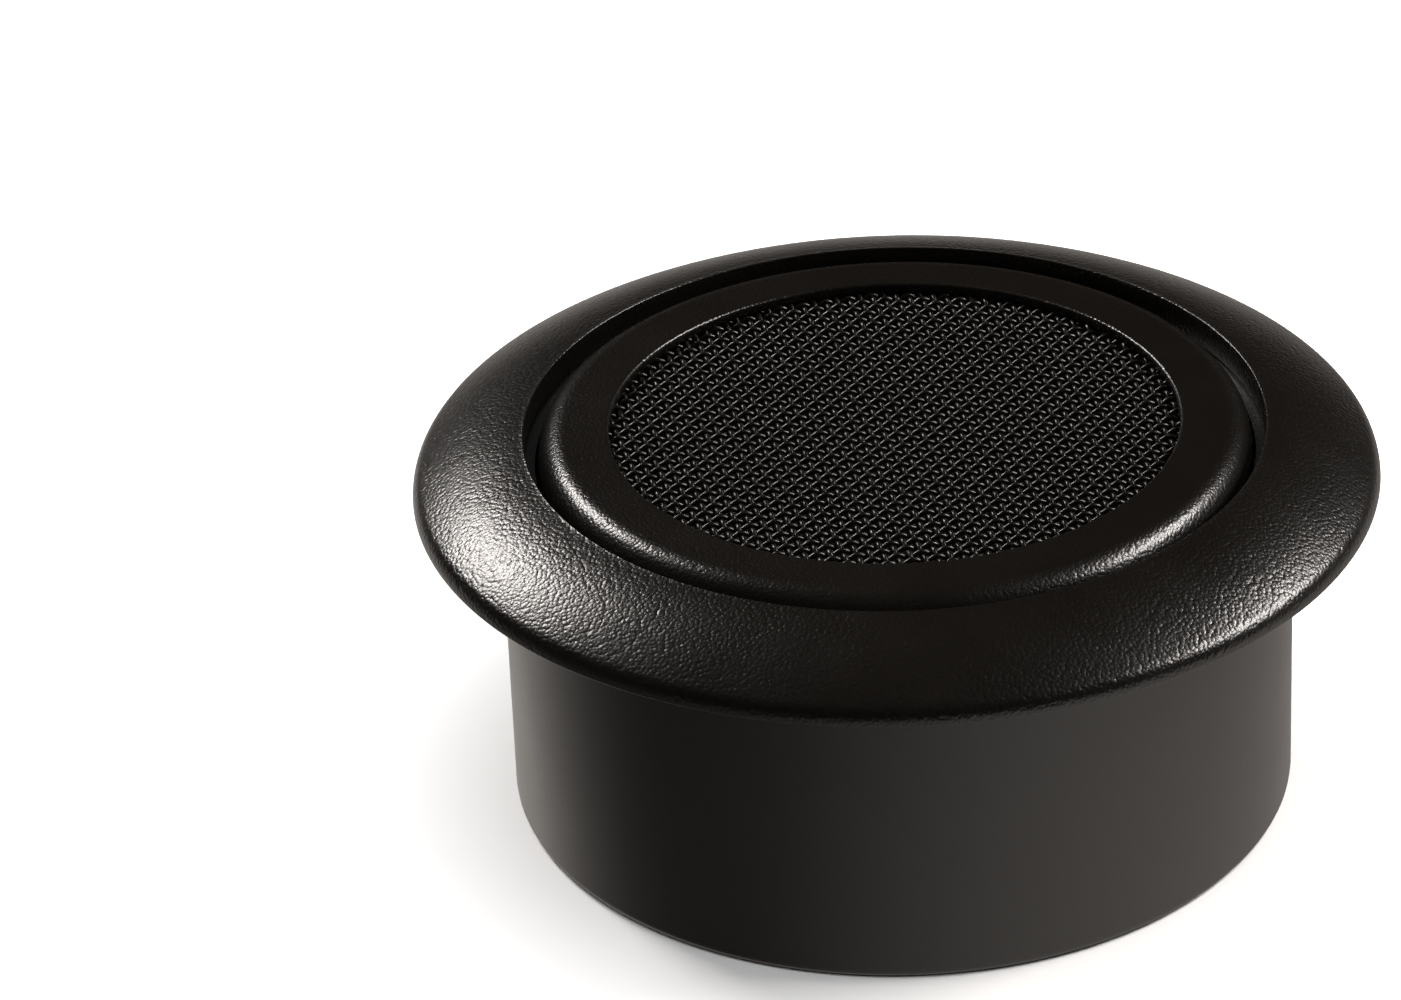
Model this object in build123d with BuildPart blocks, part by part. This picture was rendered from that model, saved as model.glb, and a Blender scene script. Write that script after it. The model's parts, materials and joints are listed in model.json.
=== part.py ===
from build123d import *
from math import asin, cos, degrees, radians, sin, sqrt
import os

# A flush-mount car tweeter: a plastic cup with a domed trim flange drops into a
# round panel hole, and a ball-sided dome-tweeter capsule is aimed inside it.
# Millimetres. +Z is the way the sound goes. The origin is the middle of the
# cup's flat base. Radii are from the tweeter's axis, heights from the base.

# ---------------------------------------------------------------- driving sizes
# Trim flange
FLANGE_R = 27.0            # widest radius, half of a 54 mm flange
LIP_R = 20.65              # sharp inner lip
LIP_Z = 22.43
LIP_SLOPE = 10.0           # degrees the crown already falls at the lip
CROWN_R = 15.0             # radius of the crown's section
RIM_R = 0.9                # rounding of the outer rim
RIM_EDGE = 0.12            # rounding of the rim's lower edge
SEAT_Z = 19.1              # underside, which lies on the panel
LIP_UNDER_Z = 20.8         # underside of the lip, over the swivel ring
REBATE_Z = 20.4            # top of the rebate that takes the cup's mouth
GASKET_R = (23.2, 25.4)
GASKET_T = 0.6

# Cup
CUP_R = 22.2               # slides into a 44.5 mm panel hole
CUP_WALL = 1.0
CUP_FLOOR = 1.2
CUP_EDGE = 0.6
CUP_SIDE_Z = 18.8          # top of the straight side
NECK_R = 21.8              # mouth that the flange is pressed over
LEDGE_R = 20.1             # inner ledge that carries the swivel ring
LEDGE_Z = 12.4
LEDGE_T = 0.6
WASHER_T = 0.7
BOSS_R = 3.6
BOSS_Z = 4.0
INSERT_R = 2.8
THREAD_R = 1.65            # core of an M4 thread
GROMMET_Y = 12.5           # cable outlet, towards the back
GROMMET_R = 3.0            # hole in the floor
GROMMET_FLANGE_R = 3.9
CABLE_R = 2.1              # takes a 4 mm two-core cable
CAPACITOR_R = 1.8
CAPACITOR_LENGTH = 8.0
CAPACITOR_X = -18.8

# Aiming: the capsule tilts about X through the pivot, and the swivel ring that
# holds the pivot pins turns about Z
PIVOT_Z = 18.3
BALL_R = 20.0              # outside of the capsule
SOCKET_R = 20.22           # inside of the swivel ring
RING_R = 21.0
RING_GAP = 0.05
RING_TOP_Z = 20.6
PIN_R = 1.0
PIN_HOLE_R = 1.05
PIN_INNER_X = 18.1

# Capsule
CAPSULE_BORE_R = 18.0
BEZEL_Z = 22.42            # ring face at its outer shoulder
BEZEL_LIP_Z = 22.6         # ring face at its inner lip
BEZEL_LIP_R = 15.89
BEZEL_SHOULDER = 0.9
BEZEL_LIP_ROUND = 0.22
BEZEL_JOINT_Z = 19.8       # where the bezel meets the shell
BALL_BOTTOM_Z = 10.4
SHELL_BOTTOM_Z = 6.6
SHELL_BOTTOM_R = 16.2
SHELL_WALL = 1.0
COVER_T = 1.2
MESH_R = 16.9
MESH_Z = 22.07             # top of the woven mesh
MESH_T = 0.6
RETAINER_T = 0.65
RETAINER_BORE_R = 15.95

# Diaphragm, coil and motor
DOME_R = 12.6
DOME_RISE = 4.3
DOME_T = 0.25
DIAPHRAGM_Z = 15.9
FORMER_R = (12.45, 12.6)
FORMER_BOTTOM_Z = 11.6
COIL_R = 12.95
COIL_Z = (12.4, 14.6)
ROLL_R = 1.1               # half roll of the surround
ROLL_T = 0.2
ROLL_OUTER_R = 15.0
FOOT_R = 16.2
CLAMP_T = 0.9
PLATE_R = 12.2
GAP_OUTER_R = 13.3
YOKE_R = 15.2
YOKE_BOTTOM_Z = 8.4
YOKE_FLOOR = 2.0
YOKE_TOP_Z = 14.6
MAGNET_R = 11.0
MAGNET_T = 2.4
PAD_R = 10.5
PAD_T = 1.0
CHASSIS_BOTTOM_Z = 11.7
CHASSIS_LIP_R = 13.9
BOARD_R = 13.5
BOARD_T = 0.8
SCREW_R = 1.5
SCREW_HEAD_R = 2.6
SCREW_HEAD_T = 0.7
TERMINAL_X = 7.5
TERMINAL_T = 0.5
TERMINAL_Z = 4.0
TERMINAL_WIDTHS = {"positive_terminal": 2.8, "negative_terminal": 2.0}
LEAD_R = 0.2
LEAD_Y = 15.75
LEAD_HOLE_R = 0.4

# ---------------------------------------------------------------- worked-out sizes
cup_bore_r = CUP_R - CUP_WALL
ring_bottom_z = LEDGE_Z + WASHER_T + RING_GAP
cover_bottom_z = SHELL_BOTTOM_Z - COVER_T
board_bottom_z = YOKE_BOTTOM_Z - BOARD_T
mesh_bottom_z = MESH_Z - MESH_T
retainer_bottom_z = mesh_bottom_z - RETAINER_T
foot_top_z = DIAPHRAGM_Z
foot_bottom_z = foot_top_z - ROLL_T
clamp_top_z = foot_top_z + CLAMP_T
magnet_bottom_z = YOKE_BOTTOM_Z + YOKE_FLOOR
plate_bottom_z = magnet_bottom_z + MAGNET_T
roll_centre_r = (DOME_R + 2 * DOME_T + ROLL_OUTER_R) / 2


def ball_radius(height, radius=BALL_R):
    """Radius of a ball about the pivot, at a height."""
    return sqrt(radius**2 - (height - PIVOT_Z) ** 2)


def section(*points):
    """A closed half-section of (radius, height) points, standing in the XZ plane."""
    with BuildSketch(Plane.XZ) as half:
        with BuildLine():
            Polyline(*points, close=True)
        make_face()
    return half.sketch


# ---------------------------------------------------------------- housing
with BuildPart() as mounting_cup:
    outer = section(
        (0, 0),
        (CUP_R, 0),
        (CUP_R, CUP_SIDE_Z),
        (NECK_R, CUP_SIDE_Z),
        (NECK_R, REBATE_Z),
        (0, REBATE_Z),
    )
    revolve(outer, axis=Axis.Z)
    base_edge = mounting_cup.edges().filter_by(GeomType.CIRCLE).sort_by(Axis.Z)[0]
    fillet(base_edge, radius=CUP_EDGE)
    hollow = section(
        (0, CUP_FLOOR),
        (cup_bore_r, CUP_FLOOR),
        (cup_bore_r, LEDGE_Z - LEDGE_T - (cup_bore_r - LEDGE_R)),
        (LEDGE_R, LEDGE_Z - LEDGE_T),
        (LEDGE_R, LEDGE_Z),
        (cup_bore_r, LEDGE_Z),
        (cup_bore_r, REBATE_Z),
        (0, REBATE_Z),
    )
    revolve(hollow, axis=Axis.Z, mode=Mode.SUBTRACT)
    with BuildSketch(Plane.XY.offset(CUP_FLOOR)):
        Circle(BOSS_R)
    extrude(amount=BOSS_Z - CUP_FLOOR)
    with BuildSketch(Plane.XY):
        Circle(INSERT_R)
        with Locations((0, GROMMET_Y)):
            Circle(GROMMET_R)
    extrude(amount=BOSS_Z, mode=Mode.SUBTRACT)
    with BuildSketch(Plane.XY):
        with Locations((0, GROMMET_Y)):
            Circle(GROMMET_FLANGE_R)
    extrude(amount=CUP_FLOOR / 2, mode=Mode.SUBTRACT)

crown_centre_r = LIP_R - CROWN_R * sin(radians(LIP_SLOPE))
crown_end_slope = degrees(asin((FLANGE_R - RIM_R - crown_centre_r) / (CROWN_R - RIM_R)))

with BuildPart() as trim_flange:
    with BuildSketch(Plane.XZ) as flange_section:
        with BuildLine():
            crown = JernArc(
                start=(LIP_R, LIP_Z),
                tangent=(cos(radians(LIP_SLOPE)), -sin(radians(LIP_SLOPE))),
                radius=CROWN_R,
                arc_size=LIP_SLOPE - crown_end_slope,
            )
            rim = JernArc(
                start=crown @ 1,
                tangent=crown % 1,
                radius=RIM_R,
                arc_size=crown_end_slope - 90,
            )
            Polyline(
                rim @ 1,
                (FLANGE_R, SEAT_Z),
                (GASKET_R[1], SEAT_Z),
                (GASKET_R[1], SEAT_Z + GASKET_T),
                (GASKET_R[0], SEAT_Z + GASKET_T),
                (GASKET_R[0], SEAT_Z),
                (NECK_R, SEAT_Z),
                (NECK_R, REBATE_Z),
                (cup_bore_r, REBATE_Z),
                (cup_bore_r, LIP_UNDER_Z),
                (LIP_R, LIP_UNDER_Z),
                (LIP_R, LIP_Z),
            )
        make_face()
        lower_edge = flange_section.vertices().sort_by_distance((FLANGE_R, SEAT_Z))[0]
        fillet(lower_edge, radius=RIM_EDGE)
    revolve(axis=Axis.Z)

with BuildPart() as panel_gasket:
    with BuildSketch(Plane.XY.offset(SEAT_Z)):
        Circle(GASKET_R[1])
        Circle(GASKET_R[0], mode=Mode.SUBTRACT)
    extrude(amount=GASKET_T)

with BuildPart() as friction_washer:
    with BuildSketch(Plane.XY.offset(LEDGE_Z)):
        Circle(cup_bore_r)
        Circle(LEDGE_R, mode=Mode.SUBTRACT)
    extrude(amount=WASHER_T)

with BuildPart() as cable_grommet:
    with BuildSketch(Plane.XY):
        with Locations((0, GROMMET_Y)):
            Circle(GROMMET_FLANGE_R)
    extrude(amount=CUP_FLOOR / 2)
    with BuildSketch(Plane.XY):
        with Locations((0, GROMMET_Y)):
            Circle(GROMMET_R)
    extrude(amount=CUP_FLOOR)
    with BuildSketch(Plane.XY.offset(CUP_FLOOR)):
        with Locations((0, GROMMET_Y)):
            Circle(GROMMET_FLANGE_R)
    extrude(amount=CUP_FLOOR / 2)
    with BuildSketch(Plane.XY):
        with Locations((0, GROMMET_Y)):
            Circle(CABLE_R)
    extrude(amount=2 * CUP_FLOOR, mode=Mode.SUBTRACT)

with BuildPart() as strap_insert:
    with BuildSketch(Plane.XY):
        Circle(INSERT_R)
        Circle(THREAD_R, mode=Mode.SUBTRACT)
    extrude(amount=BOSS_Z)

capacitor_axis = Plane(
    origin=(CAPACITOR_X, -CAPACITOR_LENGTH / 2, CUP_FLOOR + CAPACITOR_R),
    z_dir=(0, 1, 0),
)
with BuildPart() as highpass_capacitor:
    with BuildSketch(capacitor_axis):
        Circle(CAPACITOR_R)
    extrude(amount=CAPACITOR_LENGTH)
    fillet(highpass_capacitor.edges().filter_by(GeomType.CIRCLE), radius=CAPACITOR_R / 5)

# ---------------------------------------------------------------- swivel
with BuildPart() as swivel_ring:
    with BuildSketch(Plane.XY.offset(ring_bottom_z)):
        Circle(RING_R)
    extrude(amount=RING_TOP_Z - ring_bottom_z)
    with Locations((0, 0, PIVOT_Z)):
        Sphere(SOCKET_R, mode=Mode.SUBTRACT)
    with BuildSketch(Plane.YZ):
        with Locations((0, PIVOT_Z)):
            Circle(PIN_R)
    extrude(amount=RING_R, both=True, mode=Mode.SUBTRACT)

with BuildPart() as pivot_pins:
    with BuildSketch(Plane.YZ.offset(PIN_INNER_X)):
        with Locations((0, PIVOT_Z)):
            Circle(PIN_R)
    extrude(amount=RING_R - RING_GAP - PIN_INNER_X)
    mirror(about=Plane.YZ)

# ---------------------------------------------------------------- capsule casing
with BuildPart() as capsule_bezel:
    with BuildSketch(Plane.XZ) as bezel_section:
        with BuildLine():
            RadiusArc(
                (ball_radius(BEZEL_JOINT_Z), BEZEL_JOINT_Z),
                (ball_radius(BEZEL_Z), BEZEL_Z),
                -BALL_R,
            )
            Polyline(
                (ball_radius(BEZEL_Z), BEZEL_Z),
                (BEZEL_LIP_R, BEZEL_LIP_Z),
                (BEZEL_LIP_R, MESH_Z),
                (MESH_R, MESH_Z),
                (MESH_R, mesh_bottom_z),
                (CAPSULE_BORE_R, mesh_bottom_z),
                (CAPSULE_BORE_R, BEZEL_JOINT_Z),
                (ball_radius(BEZEL_JOINT_Z), BEZEL_JOINT_Z),
            )
        make_face()
        shoulder = bezel_section.vertices().sort_by_distance((ball_radius(BEZEL_Z), BEZEL_Z))[0]
        fillet(shoulder, radius=BEZEL_SHOULDER)
        lip = bezel_section.vertices().sort_by_distance((BEZEL_LIP_R, BEZEL_LIP_Z))[0]
        fillet(lip, radius=BEZEL_LIP_ROUND)
    revolve(axis=Axis.Z)

with BuildPart() as capsule_shell:
    with BuildSketch(Plane.XZ):
        with BuildLine():
            RadiusArc(
                (ball_radius(BALL_BOTTOM_Z), BALL_BOTTOM_Z),
                (ball_radius(BEZEL_JOINT_Z), BEZEL_JOINT_Z),
                -BALL_R,
            )
            Polyline(
                (ball_radius(BEZEL_JOINT_Z), BEZEL_JOINT_Z),
                (CAPSULE_BORE_R, BEZEL_JOINT_Z),
                (CAPSULE_BORE_R, CHASSIS_BOTTOM_Z),
                (CAPSULE_BORE_R - SHELL_WALL, CHASSIS_BOTTOM_Z),
                (SHELL_BOTTOM_R - SHELL_WALL / 2, YOKE_BOTTOM_Z),
                (SHELL_BOTTOM_R - SHELL_WALL / 2, SHELL_BOTTOM_Z),
                (SHELL_BOTTOM_R, SHELL_BOTTOM_Z),
                (ball_radius(BALL_BOTTOM_Z), BALL_BOTTOM_Z),
            )
        make_face()
    revolve(axis=Axis.Z)
    with BuildSketch(Plane.YZ):
        with Locations((0, PIVOT_Z)):
            Circle(PIN_HOLE_R)
    extrude(amount=BALL_R + 1, both=True, mode=Mode.SUBTRACT)

with BuildPart() as grille_mesh:
    with BuildSketch(Plane.XY.offset(mesh_bottom_z)):
        Circle(MESH_R)
    extrude(amount=MESH_T)

with BuildPart() as grille_retainer:
    with BuildSketch(Plane.XY.offset(retainer_bottom_z)):
        Circle(CAPSULE_BORE_R)
        Circle(RETAINER_BORE_R, mode=Mode.SUBTRACT)
    extrude(amount=RETAINER_T)

with BuildPart() as waveguide_ring:
    cone = section(
        (ROLL_OUTER_R, clamp_top_z),
        (CAPSULE_BORE_R, clamp_top_z),
        (CAPSULE_BORE_R, retainer_bottom_z),
        (RETAINER_BORE_R, retainer_bottom_z),
    )
    revolve(cone, axis=Axis.Z)

with BuildPart() as rear_cover:
    with BuildSketch(Plane.XY.offset(cover_bottom_z)):
        Circle(SHELL_BOTTOM_R)
    extrude(amount=COVER_T)
    rim_edge = rear_cover.edges().filter_by(GeomType.CIRCLE).sort_by(Axis.Z)[0]
    chamfer(rim_edge, length=COVER_T / 2)
    with BuildSketch(Plane.XY.offset(cover_bottom_z)):
        Circle(SCREW_R)
        with Locations((-TERMINAL_X, 0)):
            Rectangle(2 * TERMINAL_T, TERMINAL_WIDTHS["negative_terminal"] + 2 * TERMINAL_T)
        with Locations((TERMINAL_X, 0)):
            Rectangle(2 * TERMINAL_T, TERMINAL_WIDTHS["positive_terminal"] + 2 * TERMINAL_T)
    extrude(amount=COVER_T, mode=Mode.SUBTRACT)
    with BuildSketch(Plane.XY.offset(cover_bottom_z)):
        Circle(SCREW_HEAD_R)
    extrude(amount=SCREW_HEAD_T, mode=Mode.SUBTRACT)

# ---------------------------------------------------------------- motor and diaphragm
with BuildPart() as yoke:
    pot = section(
        (SCREW_R, YOKE_BOTTOM_Z),
        (YOKE_R, YOKE_BOTTOM_Z),
        (YOKE_R, YOKE_TOP_Z),
        (GAP_OUTER_R, YOKE_TOP_Z),
        (GAP_OUTER_R, magnet_bottom_z),
        (SCREW_R, magnet_bottom_z),
    )
    revolve(pot, axis=Axis.Z)
    chamfer(yoke.edges().filter_by(GeomType.CIRCLE).sort_by(Axis.Z)[-1], length=0.3)

with BuildPart() as magnet:
    with BuildSketch(Plane.XY.offset(magnet_bottom_z)):
        Circle(MAGNET_R)
    extrude(amount=MAGNET_T)

with BuildPart() as pole_plate:
    with BuildSketch(Plane.XY.offset(plate_bottom_z)):
        Circle(PLATE_R)
    extrude(amount=YOKE_TOP_Z - plate_bottom_z)

with BuildPart() as dome_damping_pad:
    with BuildSketch(Plane.XY.offset(YOKE_TOP_Z)):
        Circle(PAD_R)
    extrude(amount=PAD_T)

with BuildPart() as motor_chassis:
    frame_ring = section(
        (YOKE_R, CHASSIS_BOTTOM_Z),
        (CAPSULE_BORE_R, CHASSIS_BOTTOM_Z),
        (CAPSULE_BORE_R, foot_bottom_z),
        (ROLL_OUTER_R, foot_bottom_z),
        (CHASSIS_LIP_R, YOKE_TOP_Z + ROLL_T),
        (CHASSIS_LIP_R, YOKE_TOP_Z),
        (YOKE_R, YOKE_TOP_Z),
    )
    revolve(frame_ring, axis=Axis.Z)
    with BuildSketch(Plane.XY.offset(CHASSIS_BOTTOM_Z)):
        with Locations((0, LEAD_Y), (0, -LEAD_Y)):
            Circle(LEAD_HOLE_R)
    extrude(amount=foot_bottom_z - CHASSIS_BOTTOM_Z, mode=Mode.SUBTRACT)

with BuildPart() as surround:
    with BuildSketch(Plane.XZ) as roll_section:
        with BuildLine():
            outer_roll = CenterArc((roll_centre_r, foot_bottom_z), ROLL_R, 0, 180)
            inner_roll = CenterArc((roll_centre_r, foot_bottom_z), ROLL_R - ROLL_T, 0, 180)
            Line(outer_roll @ 0, inner_roll @ 0)
            Line(outer_roll @ 1, inner_roll @ 1)
        make_face()
        with BuildLine():
            Polyline(
                (roll_centre_r + ROLL_R - ROLL_T, foot_bottom_z),
                (FOOT_R, foot_bottom_z),
                (FOOT_R, foot_top_z),
                (roll_centre_r + ROLL_R - ROLL_T, foot_top_z),
                close=True,
            )
        make_face()
        with BuildLine():
            Polyline(
                (FORMER_R[1], foot_bottom_z),
                (roll_centre_r - ROLL_R + ROLL_T, foot_bottom_z),
                (roll_centre_r - ROLL_R + ROLL_T, foot_top_z),
                (FORMER_R[1], foot_top_z),
                close=True,
            )
        make_face()
    revolve(axis=Axis.Z)

with BuildPart() as diaphragm_clamp:
    clamp_ring = section(
        (ROLL_OUTER_R + ROLL_T, foot_top_z),
        (FOOT_R, foot_top_z),
        (FOOT_R, foot_bottom_z),
        (CAPSULE_BORE_R, foot_bottom_z),
        (CAPSULE_BORE_R, clamp_top_z),
        (ROLL_OUTER_R + ROLL_T, clamp_top_z),
    )
    revolve(clamp_ring, axis=Axis.Z)

dome_sphere_r = (DOME_R**2 + DOME_RISE**2) / (2 * DOME_RISE)
dome_apex_z = DIAPHRAGM_Z + DOME_RISE

dome_centre_z = dome_apex_z - dome_sphere_r


def foot_angle(radius):
    """Angle where a dome arc of this radius meets the plane of the dome's foot."""
    return degrees(asin((DIAPHRAGM_Z - dome_centre_z) / radius))


dome_inner_r = dome_sphere_r - DOME_T
outer_foot = foot_angle(dome_sphere_r)
inner_foot = foot_angle(dome_inner_r)

with BuildPart() as dome:
    with BuildSketch(Plane.XZ):
        with BuildLine():
            outside = CenterArc((0, dome_centre_z), dome_sphere_r, outer_foot, 90 - outer_foot)
            inside = CenterArc((0, dome_centre_z), dome_inner_r, inner_foot, 90 - inner_foot)
            Line(outside @ 0, inside @ 0)
            Line(outside @ 1, inside @ 1)
        make_face()
    revolve(axis=Axis.Z)

with BuildPart() as voice_coil_former:
    with BuildSketch(Plane.XY.offset(FORMER_BOTTOM_Z)):
        Circle(FORMER_R[1])
        Circle(FORMER_R[0], mode=Mode.SUBTRACT)
    extrude(amount=DIAPHRAGM_Z - FORMER_BOTTOM_Z)

with BuildPart() as voice_coil_winding:
    with BuildSketch(Plane.XY.offset(COIL_Z[0])):
        Circle(COIL_R)
        Circle(FORMER_R[1], mode=Mode.SUBTRACT)
    extrude(amount=COIL_Z[1] - COIL_Z[0])

# ---------------------------------------------------------------- rear electrics
with BuildPart() as terminal_board:
    with BuildSketch(Plane.XY.offset(board_bottom_z)):
        Circle(BOARD_R)
        Circle(SCREW_R + TERMINAL_T, mode=Mode.SUBTRACT)
    extrude(amount=BOARD_T)

terminals = {}
for side, (terminal_name, width) in zip((1, -1), TERMINAL_WIDTHS.items()):
    with BuildPart() as terminal:
        with BuildSketch(Plane.XY.offset(TERMINAL_Z)):
            with Locations((side * TERMINAL_X, 0)):
                Rectangle(TERMINAL_T, width)
        extrude(amount=board_bottom_z - TERMINAL_Z)
        with BuildSketch(Plane.XY.offset(board_bottom_z - TERMINAL_T)):
            with Locations((side * (TERMINAL_X + width / 2 - TERMINAL_T / 2), 0)):
                Rectangle(width, width)
        extrude(amount=TERMINAL_T)
    terminals[terminal_name] = terminal

with BuildPart() as motor_screw:
    with BuildSketch(Plane.XY.offset(cover_bottom_z)):
        Circle(SCREW_HEAD_R - RING_GAP)
    extrude(amount=SCREW_HEAD_T)
    with BuildSketch(Plane.XY.offset(cover_bottom_z)):
        Circle(SCREW_R)
    extrude(amount=magnet_bottom_z - cover_bottom_z)
    with BuildSketch(Plane.XY.offset(cover_bottom_z)):
        RegularPolygon(radius=SCREW_R / 2, side_count=6)
    extrude(amount=SCREW_HEAD_T, mode=Mode.SUBTRACT)

with BuildPart() as lead_out_wires:
    with BuildLine(Plane.YZ) as lead_route:
        FilletPolyline(
            (LEAD_Y, foot_bottom_z - LEAD_R),
            (LEAD_Y, CHASSIS_BOTTOM_Z - LEAD_R),
            (SHELL_BOTTOM_R - 2 * LEAD_R - SHELL_WALL / 2, YOKE_BOTTOM_Z - LEAD_R),
            (BOARD_R, board_bottom_z + BOARD_T / 2),
            radius=LEAD_R * 2,
        )
    with BuildSketch(Plane(origin=lead_route.line @ 0, z_dir=lead_route.line % 0)):
        Circle(LEAD_R)
    sweep(path=lead_route.line)
    mirror(about=Plane.XZ)

# ---------------------------------------------------------------- output
pieces = {
    "mounting_cup": mounting_cup,
    "trim_flange": trim_flange,
    "panel_gasket": panel_gasket,
    "friction_washer": friction_washer,
    "cable_grommet": cable_grommet,
    "strap_insert": strap_insert,
    "highpass_capacitor": highpass_capacitor,
    "swivel_ring": swivel_ring,
    "pivot_pins": pivot_pins,
    "capsule_bezel": capsule_bezel,
    "capsule_shell": capsule_shell,
    "grille_mesh": grille_mesh,
    "grille_retainer": grille_retainer,
    "waveguide_ring": waveguide_ring,
    "rear_cover": rear_cover,
    "yoke": yoke,
    "magnet": magnet,
    "pole_plate": pole_plate,
    "dome_damping_pad": dome_damping_pad,
    "motor_chassis": motor_chassis,
    "surround": surround,
    "diaphragm_clamp": diaphragm_clamp,
    "dome": dome,
    "voice_coil_former": voice_coil_former,
    "voice_coil_winding": voice_coil_winding,
    "terminal_board": terminal_board,
    "positive_terminal": terminals["positive_terminal"],
    "negative_terminal": terminals["negative_terminal"],
    "motor_screw": motor_screw,
    "lead_out_wires": lead_out_wires,
}

os.makedirs("parts", exist_ok=True)
for name, piece in pieces.items():
    piece.part.label = name
    export_step(piece.part, f"parts/{name}.step")
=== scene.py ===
import json
import math

import bmesh
import bpy
from mathutils import Matrix, Vector


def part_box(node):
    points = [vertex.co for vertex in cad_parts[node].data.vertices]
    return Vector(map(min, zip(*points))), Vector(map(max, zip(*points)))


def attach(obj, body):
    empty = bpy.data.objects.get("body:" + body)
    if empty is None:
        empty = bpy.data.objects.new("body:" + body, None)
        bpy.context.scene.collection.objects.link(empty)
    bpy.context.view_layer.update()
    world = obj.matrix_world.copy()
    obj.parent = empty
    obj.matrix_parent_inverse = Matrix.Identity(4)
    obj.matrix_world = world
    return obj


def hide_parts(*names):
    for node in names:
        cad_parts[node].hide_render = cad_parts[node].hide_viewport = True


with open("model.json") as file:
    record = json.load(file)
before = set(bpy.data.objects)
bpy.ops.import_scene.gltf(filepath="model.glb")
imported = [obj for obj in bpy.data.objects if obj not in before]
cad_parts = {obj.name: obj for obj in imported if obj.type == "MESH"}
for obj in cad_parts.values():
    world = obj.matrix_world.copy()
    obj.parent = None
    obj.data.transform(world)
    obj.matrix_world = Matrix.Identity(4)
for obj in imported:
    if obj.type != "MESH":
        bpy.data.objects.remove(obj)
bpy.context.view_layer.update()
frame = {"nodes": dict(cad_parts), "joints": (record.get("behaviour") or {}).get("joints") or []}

# A flush-mount car tweeter: a smooth cup, a wide domed flange with a blasted grain, and a
# mesh-fronted capsule that turns and tilts inside them. Metres, +Z out of the grille.

MM = 0.001
WELD_DISTANCE = 1e-6


def node_radius(node):
    """A turned node's largest radius."""
    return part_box(node)[1].y


def node_heights(node):
    """A node's lowest and highest Z."""
    low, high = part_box(node)
    return low.z, high.z


# ------------------------------------------------------------------ sizes
cup_radius = node_radius("mounting_cup")
cup_wall = 1.0 * MM
cup_floor = 1.2 * MM
cup_side_top = 18.8 * MM
neck_radius = 21.8 * MM
ledge_radius = 20.1 * MM
ledge_top = node_heights("friction_washer")[0]
flange_radius = node_radius("trim_flange")
seat, lip_height = node_heights("trim_flange")
lip_radius = 20.65 * MM
lip_slope = math.radians(10)
crown_radius = 16.3 * MM
rim_round = 1.2 * MM
mesh_bottom, mesh_top = node_heights("grille_mesh")
mesh_radius = node_radius("grille_mesh")
bezel_joint, bezel_top = node_heights("capsule_bezel")
ball_radius = 20.0 * MM
pivot_height = next(joint["pos_m"][2] for joint in frame["joints"]
                    if joint["name"] == "capsule_tilt")
fine_facets = 256           # sides of the large turned pieces


# ------------------------------------------------------------------ half-sections
def arc(centre, radius, start, end, steps=12):
    """Points of an arc in the section plane, from one angle to another in degrees."""
    points = []
    for step in range(steps + 1):
        angle = math.radians(start + (end - start) * step / steps)
        points.append((centre[0] + radius * math.cos(angle), centre[1] + radius * math.sin(angle)))
    return points


def rounded(corners, steps=6):
    """A closed outline through (radius, height, rounding) corners, each corner an arc."""
    points = []
    for index, (x, z, rounding) in enumerate(corners):
        here = Vector((x, z))
        if rounding == 0:
            points.append((x, z))
            continue
        before = (Vector(corners[index - 1][:2]) - here).normalized()
        after = (Vector(corners[(index + 1) % len(corners)][:2]) - here).normalized()
        half = math.acos(max(-1, min(1, before.dot(after)))) / 2
        centre = here + (before + after).normalized() * (rounding / math.sin(half))
        first = here + before * (rounding / math.tan(half)) - centre
        swing = first.y * before.x - first.x * before.y
        sweep = math.copysign(math.pi - 2 * half, swing)
        for step in range(steps + 1):
            angle = sweep * step / steps
            points.append((centre.x + first.x * math.cos(angle) - first.y * math.sin(angle),
                           centre.y + first.x * math.sin(angle) + first.y * math.cos(angle)))
    return points


# ------------------------------------------------------------------ Geometry Nodes
class Tree:
    """A Geometry Nodes tree with named inputs and one geometry output."""

    def __init__(self, name, inputs):
        self.group = bpy.data.node_groups.new(name, "GeometryNodeTree")
        for label, kind, value in inputs:
            socket = self.group.interface.new_socket(label, in_out="INPUT", socket_type=kind)
            if value is not None:
                socket.default_value = value
        self.group.interface.new_socket("Piece", in_out="OUTPUT", socket_type="NodeSocketGeometry")
        self.inputs = self.node("NodeGroupInput").outputs
        self.output = self.node("NodeGroupOutput")

    def node(self, kind, **settings):
        made = self.group.nodes.new(kind)
        for name, value in settings.items():
            setattr(made, name, value)
        return made

    def link(self, source, target):
        self.group.links.new(source, target)

    def maths(self, operation, first, second=None):
        """One Math node. Each operand is a socket or a number."""
        made = self.node("ShaderNodeMath", operation=operation)
        for index, operand in enumerate((first, second)):
            if operand is None:
                continue
            if isinstance(operand, (int, float)):
                made.inputs[index].default_value = operand
            else:
                self.link(operand, made.inputs[index])
        return made.outputs[0]

    def finish(self, geometry):
        """Ends the tree in Realize Instances and Set Material."""
        realize = self.node("GeometryNodeRealizeInstances")
        paint = self.node("GeometryNodeSetMaterial")
        self.link(geometry, realize.inputs["Geometry"])
        self.link(realize.outputs["Geometry"], paint.inputs["Geometry"])
        self.link(self.inputs["Finish"], paint.inputs["Material"])
        self.link(paint.outputs["Geometry"], self.output.inputs["Piece"])
        return self.group


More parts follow.
